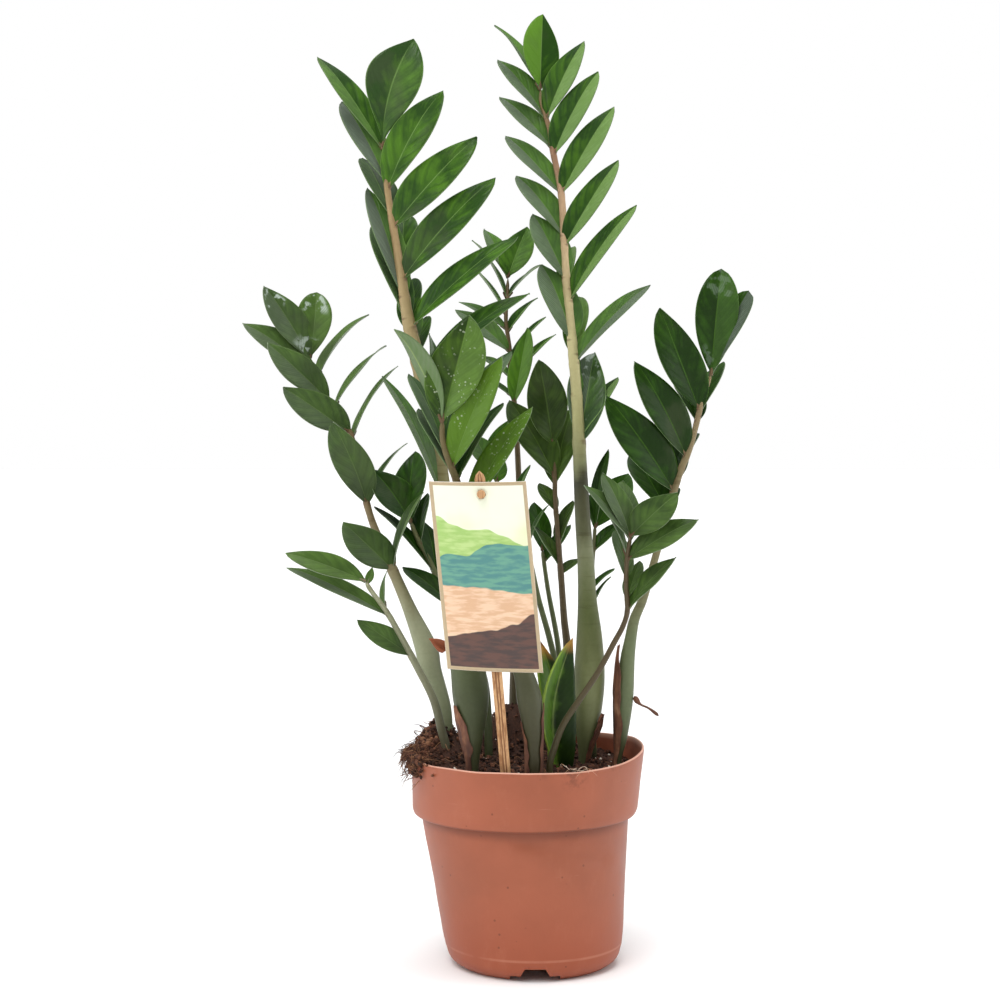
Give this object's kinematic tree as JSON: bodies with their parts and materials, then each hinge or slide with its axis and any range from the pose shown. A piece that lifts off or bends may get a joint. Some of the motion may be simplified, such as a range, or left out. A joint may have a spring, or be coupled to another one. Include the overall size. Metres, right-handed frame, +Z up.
{
  "type": "potted zz plant",
  "caption": "Leafy house plant with upright feathered fronds in a round tapered nursery pot of thin plastic, filled with peat, with a label card on a wooden stick; stands on its foot ring.",
  "frame": {"origin": "middle of the plant's whole box, on the plane of the pot's foot ring", "axes": "+Z up along the fronds; +Y away from the viewer of the label card; +X to that viewer's right"},
  "size_m": [0.367, 0.2602, 0.6988],
  "materials": {
    "pot": "thin satin terracotta-coloured plastic, a little scuffed and dusty",
    "soil": "dark moist peat with pale fibres and grit",
    "leaf_fresh": "waxy, glossy leaf, fresh mid green, greyer underneath",
    "leaf_olive": "waxy leaf, olive green, greyer underneath",
    "leaf_dark": "waxy, glossy leaf, dark green",
    "sheath": "dry papery leaf sheath, brown",
    "wood": "raw split wood",
    "card": "coated card with a plain printed design of soft greens"
  },
  "bodies": {
    "root": {"pot": "pot", "soil": "soil", "frond_tall_left": "leaf_fresh", "frond_tall_right": "leaf_fresh", "frond_left": "leaf_olive", "frond_low_left": "leaf_olive", "frond_front": "leaf_fresh", "frond_dark_left": "leaf_dark", "frond_dark_centre": "leaf_dark", "frond_back": "leaf_fresh", "frond_shoot_pale": "leaf_olive", "frond_shoot_dark": "leaf_dark", "frond_low_right": "leaf_fresh", "frond_small_right": "leaf_dark", "frond_right": "leaf_dark", "leaf_young": "leaf_fresh", "leaf_folded": "leaf_fresh", "sheath_tall_left": "sheath", "sheath_left": "sheath", "sheath_front_left": "sheath", "sheath_front_right": "sheath", "sheath_right": "sheath", "sheath_tall_right": "sheath", "dry_stub": "sheath", "label_stick": "wood", "label_card": "card"}
  },
  "joints": []
}
